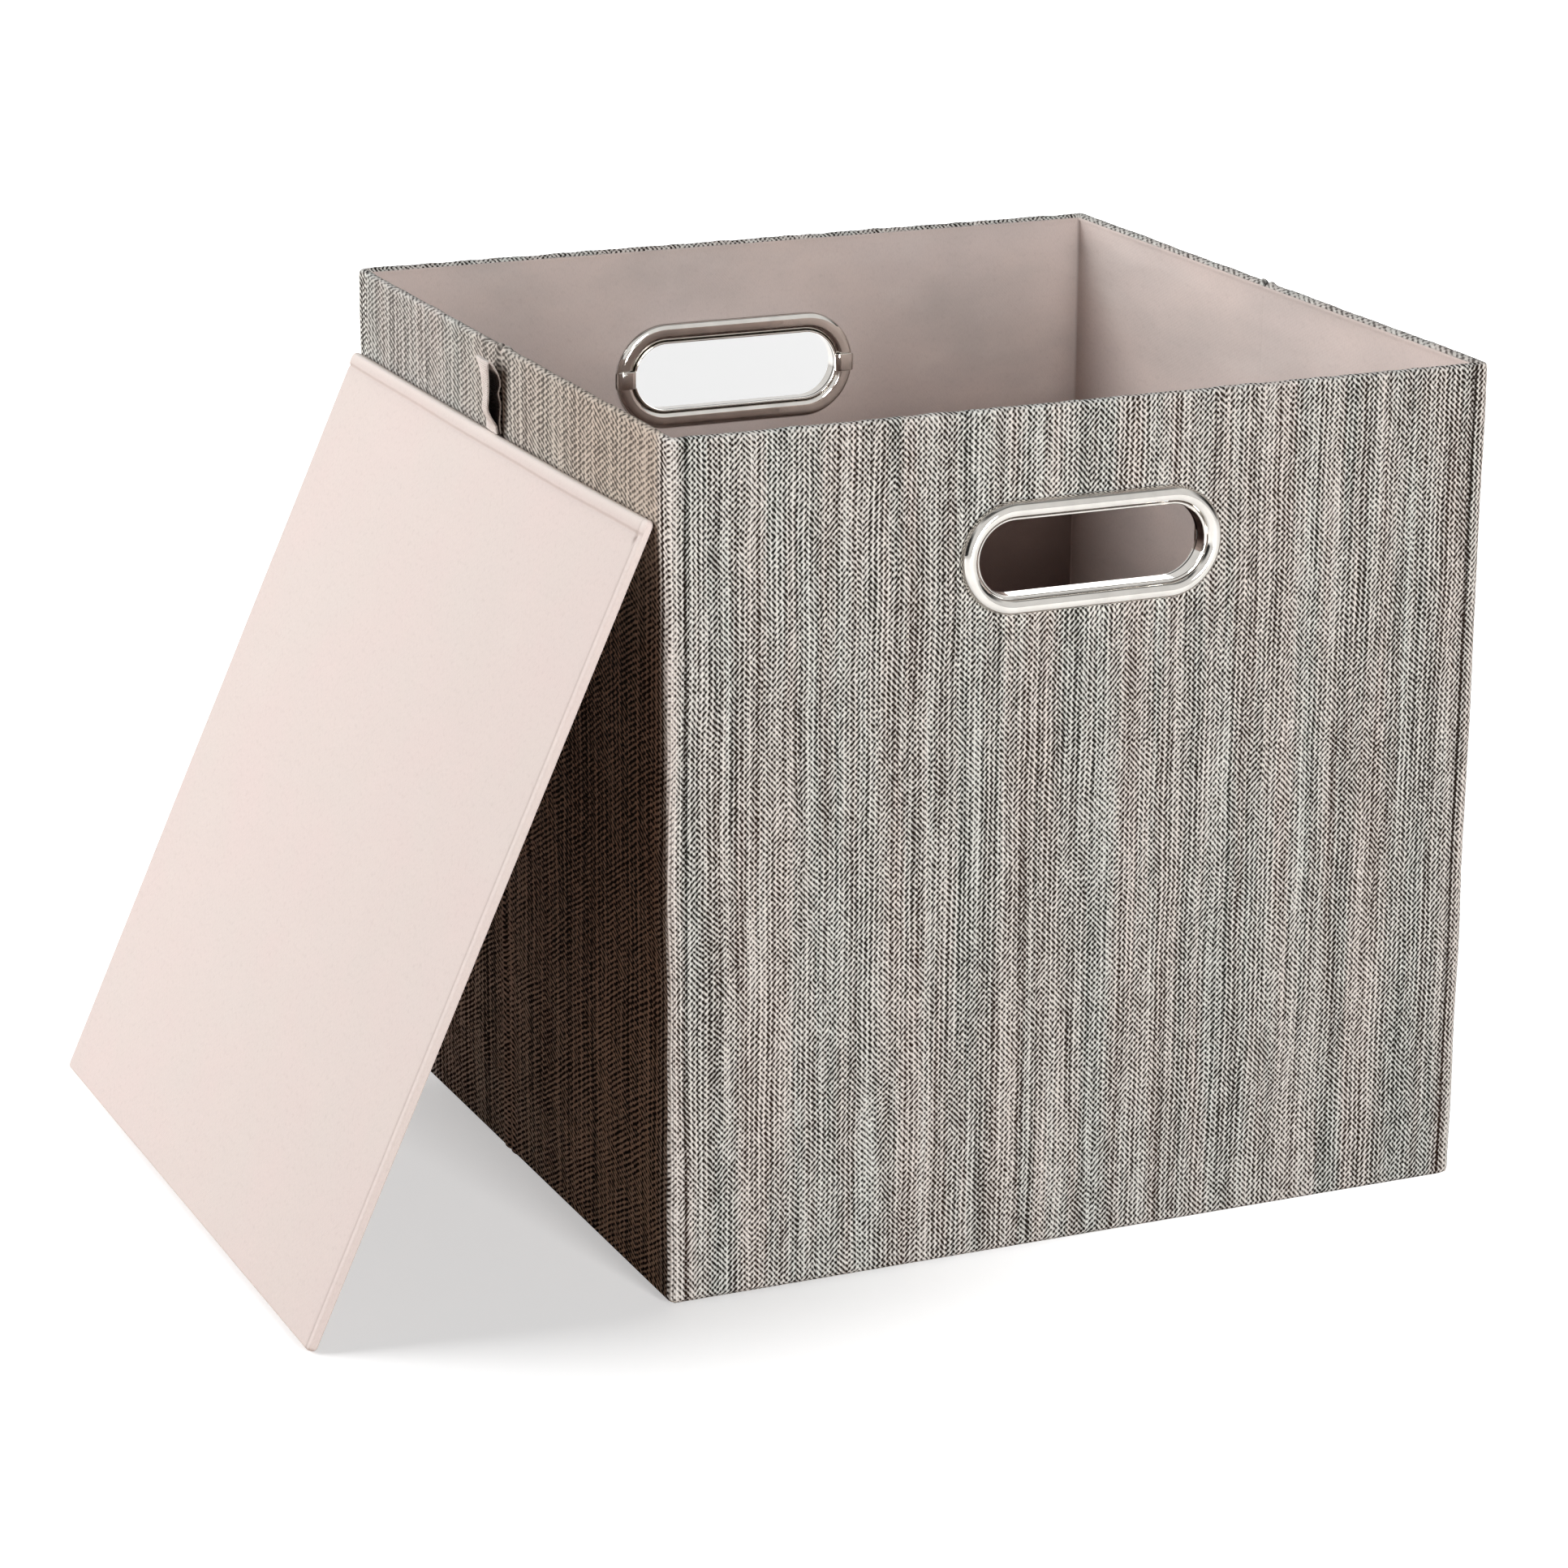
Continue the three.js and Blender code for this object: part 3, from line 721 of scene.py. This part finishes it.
for first, second, body_a, body_b in CORNERS:
    strip = outer_skin(f"{first}_{second}_corner_tweed", corner_run(first, second))
    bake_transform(strip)


# ---------------- lining
def lining_profile():
    """A rolled top edge just under the rim, then straight down to the floor."""
    d = WALL + 0.25 * MM
    top = RIM - 1.6 * MM
    roll = [(-WALL + 0.3 * MM, top - 0.5 * MM), (-WALL + 0.1 * MM, top),
            (-d - 0.25 * MM, top + 0.25 * MM), (-d - 0.4 * MM, top - 0.15 * MM),
            (-d - 0.4 * MM, top - 0.8 * MM), (-d - 0.15 * MM, top - 1.3 * MM)]
    wall = [(-d, z) for z in np.linspace(top - 2.2 * MM, 1.9 * MM, 120)]
    points = np.array(roll + wall)
    return points, points[:, 1]


def inner_skin(name, run, body=None, crease=False, hole=False):
    """The lining over one run: shallow slack waves, and puckers by the upright corners."""
    profile, v = lining_profile()
    points = lift(run, profile)
    _, inner, normal, u, _ = run
    u_grid = np.broadcast_to(u[None, :], points.shape[:2])
    v_grid = np.broadcast_to(v[:, None], points.shape[:2])
    below = np.clip((RIM - 6 * MM - profile[:, 1]) / (25 * MM), 0, 1)[:, None]
    push = -np.abs(ripple(u_grid, v_grid, 31, 50 * MM, 200 * MM)) * 0.55 * MM * below
    from_corner = np.minimum(np.abs(np.abs(inner[:, 0]) - SIDE + WALL), 1) + np.minimum(
        np.abs(np.abs(inner[:, 1]) - FRONT + WALL), 1)
    pucker = bell(from_corner, 13 * MM)[None, :]
    folds = 0.5 + 0.5 * ripple(u_grid * 0.4, v_grid, 32, 9 * MM, 60 * MM)
    push = push - pucker * below * folds * 1.1 * MM
    room = np.clip(0.033 * from_corner - 0.27 * MM, 0, 2 * MM)  # to the facing lining when folded
    push = np.maximum(push, -room[None, :])
    if crease:  # stitched down between the cards on the left, hardly a fold line on the right
        deep, wide = (3.2 * MM, 0.8 * MM) if inner[0, 0] < 0 else (0.1 * MM, 1.6 * MM)
        push = push + deep * bell(np.abs(inner[:, 1])[None, :], wide)
    points[..., :2] += normal[None] * push[..., None]
    tuck = 0.1 * MM if hole else None
    faces = grid_faces(*points.shape[:2])[:, ::-1]
    maps = (paired(u_grid, v_grid),)
    return wall_cloth(name, points, faces, normal[0], tuck, "lining", maps, body)


for side, body in WALLS.items():
    run = side_run(side, -FACE_HALF, FACE_HALF, LINING_STEP)
    skin = inner_skin(f"{side}_inner_cloth", run, body, hole=True)
    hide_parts(f"{side}_lining")
for body in HALVES:
    skin = inner_skin(f"{body}_inner_cloth", half_run(body, LINING_GAP), body,
                      crease=body.startswith("right"))
    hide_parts(f"{body}_lining")
crease_lining = inner_skin("left_crease_inner_cloth", side_run("left", -CREASE, CREASE, 0.4 * MM),
                           crease=True)
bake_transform(crease_lining)
for first, second, body_a, body_b in CORNERS:
    strip = inner_skin(f"{first}_{second}_corner_inner_cloth", corner_run(first, second))
    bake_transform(strip)


# ---------------- floor cloths
def floor_cloth(name, inset, z, material, node, flip):
    """One layer of the floor: flat if flipped to face down, else with soft lifts."""
    x = np.linspace(-SIDE + inset, SIDE - inset, 90)
    y = np.linspace(-FRONT + inset, FRONT - inset, 90)
    xs, ys = np.meshgrid(x, y)
    edge = np.minimum(np.minimum(xs - x[0], x[-1] - xs), np.minimum(ys - y[0], y[-1] - ys))
    inland = np.clip(edge / (20 * MM), 0, 1)
    lifted = np.abs(ripple(xs, ys, 51, 30 * MM, 120 * MM)) * 0.15 * MM * inland
    points = np.dstack([xs, ys, z + lifted * (0 if flip else 1)])
    faces = grid_faces(*xs.shape)
    uv = paired(xs, ys)
    obj = add_mesh(name, points.reshape(-1, 3), faces[:, ::-1] if flip else faces, material, uv)
    stand_for(obj, node, "front_wall")
    return obj


underside = floor_cloth("floor_outer_cloth", 3.0 * MM, 0.25 * MM, tweed,
                        "floor_cover", flip=True)
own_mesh(underside)
bottom = floor_cloth("floor_inner_cloth", WALL + 0.4 * MM, 0.55 * MM, lining,
                     "floor_lining", flip=False)
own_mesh(bottom)


# ---------------- grips
CAP_STEPS = 40
SIDE_STEPS = 6


def slot_path():
    """Points on the hand-hole's middle line and the outward direction at each, in X and Z."""
    anchors, outward = [], []
    for side in (1, -1):
        for angle in np.linspace(-math.pi / 2, math.pi / 2, CAP_STEPS + 1):
            anchors.append((side * GRIP_HALF, 0))
            outward.append((side * math.cos(angle), side * math.sin(angle)))
        for k in range(1, SIDE_STEPS):
            anchors.append((side * GRIP_HALF * (1 - 2 * k / SIDE_STEPS), 0))
            outward.append((0, side))
    return np.array(anchors), np.array(outward)


def smooth_section(points, per_span=5):
    """A closed section with rounded turns, from a few control points."""
    control = np.array(points, float)
    count = len(control)
    result = []
    for i in range(count):
        p0, p1, p2, p3 = (control[(i + k) % count] for k in (-1, 0, 1, 2))
        span = np.linalg.norm(p2 - p1)
        lead = min(span, np.linalg.norm(p1 - p0))
        trail = min(span, np.linalg.norm(p3 - p2))
        m1 = (p2 - p0) / max(np.linalg.norm(p2 - p0), 1e-9) * lead
        m2 = (p3 - p1) / max(np.linalg.norm(p3 - p1), 1e-9) * trail
        for k in range(per_span):
            s = k / per_span
            result.append((2 * s**3 - 3 * s**2 + 1) * p1 + (s**3 - 2 * s**2 + s) * m1 * 0.8
                          + (3 * s**2 - 2 * s**3) * p2 + (s**3 - s**2) * m2 * 0.8)
    return np.array(result)


def sweep(name, section, side, body, node):
    """Carries a section round the hand-hole."""
    anchors, outward = slot_path()
    sign = 1 if side == "front" else -1
    rows = []
    for offset, out in section:
        plan = anchors + outward * (GRIP_RADIUS + offset)
        y = np.full(len(plan), -FRONT - out)
        rows.append(np.stack([plan[:, 0] * sign, y * sign, GRIP_Z + plan[:, 1]], axis=1))
    points = np.array(rows)
    faces = grid_faces(*points.shape[:2], wrap_rows=True, wrap_columns=True)
    obj = add_mesh(name, points.reshape(-1, 3), faces, chrome)
    outward_faces(obj)
    stand_for(obj, node, body)


# sections in millimetres: offset from the hand-hole's edge, and distance out of the wall's face
BEZEL = [  # the dome, its inner step, and the sleeve through the wall
    (7.0, 0.1), (7.05, 0.9), (6.75, 2.0), (6.0, 3.1), (4.9, 3.8), (3.8, 4.0), (2.7, 3.75),
    (1.75, 3.1), (1.15, 2.3), (0.85, 1.7), (0.55, 1.55), (0.3, 1.5), (0.05, 1.2), (0.0, 0.6),
    (0.0, -2.0), (0.0, -5.2), (0.2, -5.75), (0.7, -5.75), (0.95, -5.2), (0.95, -2.0), (0.95, 0.0),
    (3.0, 0.05), (5.0, 0.05),
]
RING = [  # the dished ring on the lining's side
    (1.35, -3.8), (1.3, -4.5), (1.6, -5.0), (2.5, -5.6), (3.3, -5.85), (4.6, -5.9), (6.0, -5.85),
    (7.1, -5.6), (7.9, -5.1), (8.3, -4.5), (8.25, -4.1), (7.7, -3.9), (7.3, -3.75), (4.5, -3.75),
]
CLAW = [  # middle line of a bent tab: offset from the edge, and depth behind the wall's face
    (0.25, 3.9), (0.25, 5.6), (0.45, 6.3), (1.1, 6.75), (2.4, 6.85), (4.2, 6.75), (5.8, 6.75),
    (7.0, 6.6), (7.8, 6.1), (8.2, 5.5),
]
CLAW_HALF_WIDTH, CLAW_HALF_THICK, CLAW_ROUND = 3.7 * MM, 0.38 * MM, 0.25 * MM


def claw(side, direction, label):
    """A tab of the sleeve bent out over the inner ring, with a turned-down tip and soft edges."""
    path = np.array(CLAW) * MM
    tangent = np.gradient(path, axis=0)
    tangent /= np.linalg.norm(tangent, axis=1)[:, None]
    across = np.stack([tangent[:, 1], -tangent[:, 0]], axis=1)
    outline = []
    for quarter, (cz, ct) in enumerate(((1, 1), (-1, 1), (-1, -1), (1, -1))):
        for a in np.radians(np.linspace(90 * quarter, 90 * quarter + 90, 4)):
            outline.append((cz * (CLAW_HALF_WIDTH - CLAW_ROUND) + CLAW_ROUND * math.cos(a),
                            ct * (CLAW_HALF_THICK - CLAW_ROUND) + CLAW_ROUND * math.sin(a)))
    points = []
    sign = 1 if side == "front" else -1
    narrowing = [1.0] * (len(path) - 2) + [0.95, 0.82]  # towards the tip
    for centre, normal, narrow in zip(path, across, narrowing):
        for width, thick in outline:
            offset, depth = centre + normal * thick
            x = direction * (GRIP_HALF + GRIP_RADIUS + offset)
            y = -FRONT + depth
            points.append((x * sign, y * sign, GRIP_Z + width * narrow))
    obj = add_mesh(f"{side}_claw_{label}", points, tube_faces(len(path), len(outline)), chrome)
    outward_faces(obj)
    stand_for(obj, f"{side}_grip_claw_{label}", WALLS[side])


for side, body in WALLS.items():
    sweep(f"{side}_bezel", smooth_section(BEZEL) * MM, side, body, f"{side}_grip_bezel")
    sweep(f"{side}_ring", smooth_section(RING) * MM, side, body, f"{side}_grip_ring")
    claw(side, -1, "left")
    claw(side, 1, "right")


# ---------------- base board
# The board's own frame: Z up it from the foot, Y across it, X from its outer face to its back.
BOARD_PLACE = Matrix.Translation(BOARD_FOOT) @ Matrix.Rotation(BOARD_LEAN, 4, "Y")
HEM_AT = 5.4 * MM  # the hem's line, below the top edge
SEAM_AT = 2.3 * MM  # the seam's line, in from the front edge
TURN_IN = 8 * MM  # the cloth turned in behind
EDGE_BEND, FACE_ROUND = 1.3 * MM, 2.4 * MM  # radii over the board's edge, and of its corners
BACK_INSET = 6 * MM  # the back cloth's margin


def place_on_board(points):
    """From the board's own frame to the bin's; the cloth stands proud at the front top corner."""
    to_front = np.clip(0.5 - points[:, 1] / BOARD_WIDTH, 0, 1.1)
    share = to_front * np.clip(points[:, 2] / BOARD_LENGTH, 0, 1.1)
    points = points + np.outer(share, (-0.6 * MM, 0, 0)) + np.outer(share ** 3, (0, 0, 2.0 * MM))
    matrix = np.array(BOARD_PLACE)
    return points @ matrix[:3, :3].T + matrix[:3, 3]


def board_marks(y, z):
    """The cloth's height over the board's face, and distances past its hem and front seam."""
    wave = ripple(y, z, 71, 60 * MM, 240 * MM) * 0.16 * MM
    wave = wave + ripple(y, z, 72, 9 * MM, 30 * MM) * 0.03 * MM
    top = BOARD_LENGTH - z
    hem_line = HEM_AT + 0.12 * MM * np.sin(y * 60) + 0.04 * MM * np.sin(y * 410 + 1)
    hem = 0.28 * MM * (1 - np.tanh((top - hem_line) / (0.6 * MM)))
    hem = hem - 0.55 * MM * bell(top - hem_line - 0.5 * MM, 0.6 * MM)
    front_edge = y + BOARD_WIDTH / 2
    seam = -0.30 * MM * bell(front_edge - SEAM_AT, 0.5 * MM)
    nick = -1.5 * MM * bell(np.hypot(front_edge - 3.2 * MM, (top - 7.6 * MM) * 0.4), 0.8 * MM)
    return wave + hem + seam + nick, top - hem_line, front_edge - SEAM_AT


def board_cover():
    """One cloth over the outer face, round all four edges and a little way onto the back."""
    bend = EDGE_BEND
    side = BOARD_THICK - 2 * bend
    wrap = math.pi * bend + side  # the cloth's length round an edge
    back = [wrap + 2 * MM, wrap + 5 * MM, wrap + TURN_IN]
    fine = np.concatenate([np.linspace(0, wrap, 15), back])

    def axis(half):
        """Grid lines one way along the cloth, closer by its seams and over the edges."""
        inside = np.linspace(-half, half, 2 + int(2 * half / (2.6 * MM)))
        extra = np.concatenate([[-half + 6.5 * MM * k / 8 for k in range(1, 8)],
                                [half - 9.5 * MM * k / 14 for k in range(1, 14)]])
        return np.unique(np.concatenate([-half - fine[1:], inside, extra, half + fine[1:]]))

    half_y, half_z = BOARD_WIDTH / 2 - bend, BOARD_LENGTH / 2 - bend
    ys, zs = np.meshgrid(axis(half_y), axis(half_z))
    round_off = FACE_ROUND - bend
    cy = np.clip(ys, -half_y + round_off, half_y - round_off)
    cz = np.clip(zs, -half_z + round_off, half_z - round_off)
    away = np.dstack([ys - cy, zs - cz])
    distance = np.linalg.norm(away, axis=2)
    direction = away / np.maximum(distance, 1e-9)[..., None]
    over = np.maximum(distance - round_off, 0)
    base_y = np.where(distance > round_off, cy + direction[..., 0] * round_off, ys)
    base_z = np.where(distance > round_off, cz + direction[..., 1] * round_off, zs)
    quarter = math.pi / 2 * bend
    # over the front edge by angle a1, flat across the edge, then over the back edge by angle a2
    a1 = np.clip(over, 0, quarter) / bend
    flat = np.clip(over - quarter, 0, side)
    a2 = np.clip(over - quarter - side, 0, quarter) / bend
    inward = np.maximum(over - 2 * quarter - side, 0)
    reach = bend * np.sin(a1) - bend * (1 - np.cos(a2)) - inward
    depth = -BOARD_THICK + bend * (1 - np.cos(a1)) + flat + bend * np.sin(a2)
    y = base_y + direction[..., 0] * reach
    z = base_z + direction[..., 1] * reach + BOARD_LENGTH / 2
    on_face = np.clip(1 - over / quarter, 0, 1)
    marks, from_hem, from_seam = board_marks(y, z)
    depth = depth - marks * on_face
    points = np.dstack([depth, y, z]).reshape(-1, 3)
    uv = paired(ys, zs)
    hidden = np.where(on_face > 0, 0, 1.0)  # a metre away, so that no line shows off the face
    edges = paired(from_hem + hidden, from_seam + hidden)
    obj = add_mesh("base_board_cloth", place_on_board(points), grid_faces(*ys.shape),
                   board_cloth, uv, edges)
    stand_for(obj, "base_board_cover", "base_board")


def board_back():
    """The cloth glued over the board's back, covering the turned-in edges."""
    y = np.linspace(-BOARD_WIDTH / 2 + BACK_INSET, BOARD_WIDTH / 2 - BACK_INSET, 90)
    z = np.linspace(BACK_INSET, BOARD_LENGTH - BACK_INSET, 90)
    ys, zs = np.meshgrid(y, z)
    depth = 0.12 * MM + np.abs(ripple(ys, zs, 75, 40 * MM, 160 * MM)) * 0.12 * MM
    points = np.dstack([depth, ys, zs]).reshape(-1, 3)
    uv = paired(ys + 0.5, zs)
    obj = add_mesh("base_board_back", place_on_board(points), grid_faces(*ys.shape)[:, ::-1],
                   board_cloth, uv, uv + 1)
    stand_for(obj, "base_board_back_cloth", "base_board")


board_cover()
board_back()


# ---------------- ribbon tab
# the tape's middle line in millimetres from its root, in X and Z
TAPE_LINE = [
    (-0.6, -0.2), (-1.3, 3), (-3.3, 6.2), (-4.5, 9.5), (-4.2, 13), (-4.1, 16.5), (-4.4, 20.5),
    (-4.8, 24.2), (-4.9, 26.6), (-4.4, 27.8), (-3.4, 27.3), (-2.0, 25), (-0.5, 22), (0.4, 18.8),
    (-0.1, 16), (0.2, 13.6), (0.6, 11), (0.1, 7.5), (-0.2, 4), (0.5, -0.2),
]
TAPE_HALF_WIDTH, TAPE_HALF_THICK = 6.5 * MM, 0.45 * MM
TAPE_TOP = 27.5 * MM


def tab():
    """A loop of tape that flares out at the top, its layers closing together towards one edge."""
    root_x = joints["pull_tab_fold"]["pos_m"][0] + 0.8 * MM
    root_z = TAB_LOW[2]
    middle = (TAB_LOW[1] + TAB_HIGH[1]) / 2
    control = np.array(TAPE_LINE) * MM
    line = []
    for i in range(len(control) - 1):
        p0, p1, p2, p3 = (control[min(max(i + k, 0), len(control) - 1)] for k in (-1, 0, 1, 2))
        for k in range(6):
            s = k / 6
            line.append(0.5 * (2 * p1 + (p2 - p0) * s + (2 * p0 - 5 * p1 + 4 * p2 - p3) * s**2
                               + (3 * p1 - p0 - 3 * p2 + p3) * s**3))
    line = np.array(line + [control[-1]])
    tangent = np.gradient(line, axis=0)
    tangent /= np.linalg.norm(tangent, axis=1)[:, None]
    side = np.stack([-tangent[:, 1], tangent[:, 0]], axis=1)
    travelled = lengths(line)
    outline = []
    widths = np.linspace(-1, 1, 15)
    for face, ws in ((1, widths), (-1, widths[::-1])):
        for w in ws:
            thick = TAPE_HALF_THICK * (1 - 0.2 * abs(w) ** 8)
            outline.append((w * TAPE_HALF_WIDTH, face * thick))
    points, uv, inside = [], [], []
    for centre, normal, s in zip(line, side, travelled):
        height = centre[1] / TAPE_TOP
        shift = -0.9 * MM * height**2
        for width, thick in outline:
            x, z = centre + normal * thick
            closed = min(max((width / TAPE_HALF_WIDTH + 0.3) / 1.3, 0), 1)
            open_top = 1 - 0.75 * min(max(height, 0), 1) ** 5
            closed = 0.85 * closed * closed * (3 - 2 * closed) * open_top
            between = (-0.5 - 2.4 * height * height) * MM
            curl = 0.25 * MM * math.sin(height * 9) * (width / TAPE_HALF_WIDTH) ** 2
            x = x + (between - x) * closed + curl
            points.append((root_x + x, middle + width + shift, root_z + z))
            uv.append((width, s))
            # marks the inner faces for the ribbon's painted shade, fading out near the top
            inside.append((float(thick < 0) * min(1, 6 * (1 - height)), 0))
    obj = add_mesh("ribbon_tab", points, tube_faces(len(line), len(outline)), ribbon, uv, inside)
    outward_faces(obj)
    stand_for(obj, "pull_tab", "pull_tab")


tab()

# ---------------- CAD nodes that stay
for name, node in frame["nodes"].items():
    if name.endswith("_card"):
        node.material_slots[0].link = "OBJECT"
        node.material_slots[0].material = card


# ---------------- stage and light
def add_light(name, place, target, size, power):
    """A white rectangular area light at a place, facing a target."""
    data = bpy.data.lights.new(name, "AREA")
    data.shape = "RECTANGLE"
    data.size, data.size_y = size
    data.energy = power
    data.color = (1, 1, 1)
    light = bpy.data.objects.new(name, data)
    light.location = place
    light.rotation_euler = (Vector(target) - Vector(place)).to_track_quat("-Z", "Y").to_euler()
    bpy.context.scene.collection.objects.link(light)


stage_corners = [(-8, -8, 0), (8, -8, 0), (8, 8, 0), (-8, 8, 0)]
add_mesh("stage_floor", stage_corners, [(0, 1, 2, 3)], make_floor())
LIGHTS = {  # place, target and size in metres, power in watts
    "front": ((0.06, -2.40, 0.54), (0.0, 0.0, 0.2), (0.44, 1.2), 50.8),
    "left": ((-2.40, 0.92, 1.25), (-0.1, 0.0, 0.2), (1.5, 1.8), 77),
    "rear": ((1.80, 1.70, 1.00), (0.0, 0.0, 0.2), (1.8, 1.6), 24),
    "top": ((0.20, 0.10, 2.60), (0.0, 0.0, 0.0), (1.6, 1.6), 2),
}
for name, (place, target, size, power) in LIGHTS.items():
    add_light(name, place, target, size, power)
WORLD_FILL = 0.005  # the surround's own light on the bin
STUDIO_WHITE, STUDIO_DARK = 0.86, 0.03  # what polished metal sees of the studio's walls


def make_world():
    """White to the camera; in metal, a pale studio with dark sides and a dark gap above."""
    world = bpy.data.worlds.new("studio")
    bpy.context.scene.world = world
    t = Tree("studio", world)
    ray = wire(t.tree, "ShaderNodeLightPath")
    direction = wire(t.tree, "ShaderNodeTexCoord").outputs["Generated"]
    parts = wire(t.tree, "ShaderNodeSeparateXYZ", {0: direction})
    x, _, z = parts.outputs
    left = t.ease(x, -0.92, -0.66, 1.0, 0.0)
    right = t.mul(t.ease(x, 0.70, 0.94), t.ease(z, -0.25, 0.15))
    above = t.ease(z, 0.74, 0.92, 0.0, 0.9)
    gloom = t.math("MAXIMUM", t.math("MAXIMUM", left, right), above)
    studio = t.remap(gloom, 0.0, 1.0, STUDIO_WHITE, STUDIO_DARK)
    metal, camera = ray.outputs["Is Glossy Ray"], ray.outputs["Is Camera Ray"]
    strength = t.add(t.mul(metal, studio), t.mul(t.sub(1.0, metal), WORLD_FILL))
    strength = t.add(t.mul(camera, CAMERA_WHITE), t.mul(t.sub(1.0, camera), strength))
    background = wire(t.tree, "ShaderNodeBackground", {"Color": (1, 1, 1, 1), "Strength": strength})
    output = wire(t.tree, "ShaderNodeOutputWorld")
    t.tree.links.new(background.outputs[0], output.inputs[0])


make_world()
bpy.context.scene.view_settings.view_transform = "Standard"
bpy.context.scene.view_settings.look = "None"
